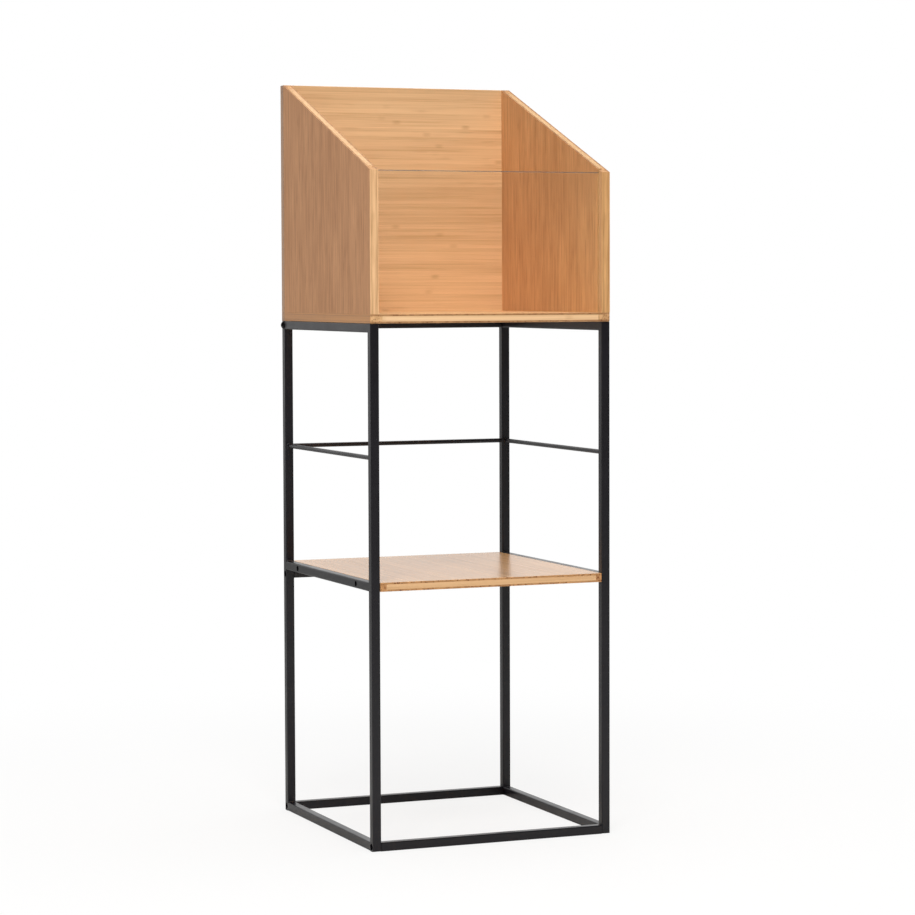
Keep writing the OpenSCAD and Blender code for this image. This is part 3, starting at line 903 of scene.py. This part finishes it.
world = bpy.data.worlds.new("studio")
world.use_nodes = True
bpy.context.scene.world = world
tree = world.node_tree
tree.nodes.clear()
path = add(tree, "LightPath")
way = add(tree, "TexCoord")
towards_backdrop = add(tree, "VectorMath", {0: way.outputs["Generated"], 1: BACKDROP_WAY},
                       operation="DOT_PRODUCT")
backdrop = add(tree, "MapRange", {"Value": towards_backdrop.outputs["Value"], "From Min": BACKDROP_EDGE,
                                  "From Max": BACKDROP_FULL}, interpolation_type="SMOOTHSTEP")
seen_in_gloss = add(tree, "MapRange", {"Value": backdrop.outputs["Result"], "To Min": ROOM_IN_GLOSS,
                                       "To Max": 1.0})

# A ray that went through the clear panel sees white too, unless it also bounced inside the sheet on its way.
bounces = add(tree, "Math", {0: path.outputs["Ray Depth"], 1: path.outputs["Transmission Depth"]},
              operation="SUBTRACT")
unbounced = add(tree, "Math", {0: bounces.outputs["Value"], 1: 0.5}, operation="LESS_THAN")
went_through = add(tree, "Math", {0: path.outputs["Is Transmission Ray"], 1: unbounced.outputs["Value"]},
                   operation="MULTIPLY")
straight = add(tree, "Math", {0: path.outputs["Is Camera Ray"], 1: went_through.outputs["Value"]},
               operation="MAXIMUM")
mirrored = add(tree, "Math", {0: path.outputs["Is Glossy Ray"], 1: path.outputs["Is Transmission Ray"]},
               operation="MAXIMUM")
glossy_or_room = add(tree, "Mix", {"Factor": mirrored.outputs["Value"], "A": ROOM_LIGHT,
                                   "B": seen_in_gloss.outputs["Result"]})
strength = add(tree, "Mix", {"Factor": straight.outputs["Value"], "A": glossy_or_room.outputs["Result"],
                             "B": 1.0})
sky = add(tree, "Background", {"Color": linear("#ffffff"), "Strength": strength.outputs["Result"]})
add(tree, "OutputWorld", {"Surface": sky.outputs["Background"]})
print("room light:", ROOM_LIGHT)

# %% [markdown]
# ## Lamps
#
# Three large area lamps give soft shadows. The key hangs high at the front left: it lights the front edges
# about one and a half times as strongly as the box's side, and from that height the upright tubes don't
# mirror it into the camera, so the black stays black. A weak lamp at the right and one overhead fill in.

# %% Hang the lamps
def soft_lamp(name, place, aim, size, watts):
    """A square, white area lamp at place, turned to face aim."""
    lamp = bpy.data.lights.new(name, "AREA")
    lamp.size = size
    lamp.energy = watts
    holder = bpy.data.objects.new(name, lamp)
    holder.location = place
    holder.rotation_euler = (Vector(aim) - Vector(place)).to_track_quat("-Z", "Y").to_euler()
    bpy.context.scene.collection.objects.link(holder)


MIDDLE = (0, 0, 0.6)     # what all three face; their sizes are in metres, and their power in watts
soft_lamp("key_lamp", (-1.15, -2.45, 3.3), MIDDLE, 1.8, 88)
soft_lamp("right_lamp", (3.4, 0.0, 1.6), MIDDLE, 1.6, 14)
soft_lamp("top_lamp", (0.2, 0.3, 3.6), MIDDLE, 2.0, 48)

# %% [markdown]
# ## White paper
#
# The floor is matt white paper. Near the stand the camera sees a mix: mostly the flat white of the world
# behind it, and a share of plain diffuse paper that holds the stand's shadow. Farther out only the flat white
# is left, so no horizon cuts the picture. The fade follows the distance from the stand and not the camera, so
# it looks the same from all sides. Paper has no gloss, so a Diffuse shader is enough. The lowest rails mirror
# it as a greyer white in the photograph, so glossy rays find a greyer shade.

# %% Matt white paper
FADE_START, FADE_END = 0.35, 1.5      # metres from the stand's middle
FLAT_SHARE = 0.78                     # how much of the flat white is there before the fade starts


def make_paper():
    material, tree, output = new_material("matt white paper")
    place = add(tree, "TexCoord")
    radius = add(tree, "VectorMath", {0: place.outputs["Object"]}, operation="LENGTH")
    far = add(tree, "MapRange", {"Value": radius.outputs["Value"], "From Min": FADE_START,
                                 "From Max": FADE_END}, interpolation_type="SMOOTHSTEP")
    path = add(tree, "LightPath")
    flat_share = add(tree, "MapRange", {"Value": far.outputs["Result"], "To Min": FLAT_SHARE, "To Max": 1.0})
    straight = add(tree, "Math", {0: path.outputs["Is Camera Ray"], 1: path.outputs["Is Transmission Ray"]},
                   operation="MAXIMUM")
    shown_flat = add(tree, "Math", {0: flat_share.outputs["Result"], 1: straight.outputs["Value"]},
                     operation="MULTIPLY")
    shade = add(tree, "Mix", {"Factor": path.outputs["Is Glossy Ray"], 6: linear("#f6f5f3"),
                              7: linear("#dadad8")}, data_type="RGBA")
    paper = add(tree, "BsdfDiffuse", {"Color": shade.outputs[2]})
    flat = add(tree, "Emission", {"Color": linear("#ffffff"), "Strength": 1.0})
    both = add(tree, "MixShader", {0: shown_flat.outputs["Value"], 1: paper.outputs["BSDF"],
                                   2: flat.outputs["Emission"]})
    tree.links.new(both.outputs["Shader"], output.inputs["Surface"])
    return material


print("the paper is flat white from", FADE_END, "m on")

# %% [markdown]
# The sheet is a disc, much wider than any view of the stand.

# %% Lay the paper
PAPER_RADIUS = 9

paper_mesh = bmesh.new()
bmesh.ops.create_circle(paper_mesh, cap_ends=True, segments=64, radius=PAPER_RADIUS)
floor = as_object("paper_floor", paper_mesh)
floor.data.materials.append(make_paper())
print("paper:", round(floor.dimensions.x, 1), "m across")
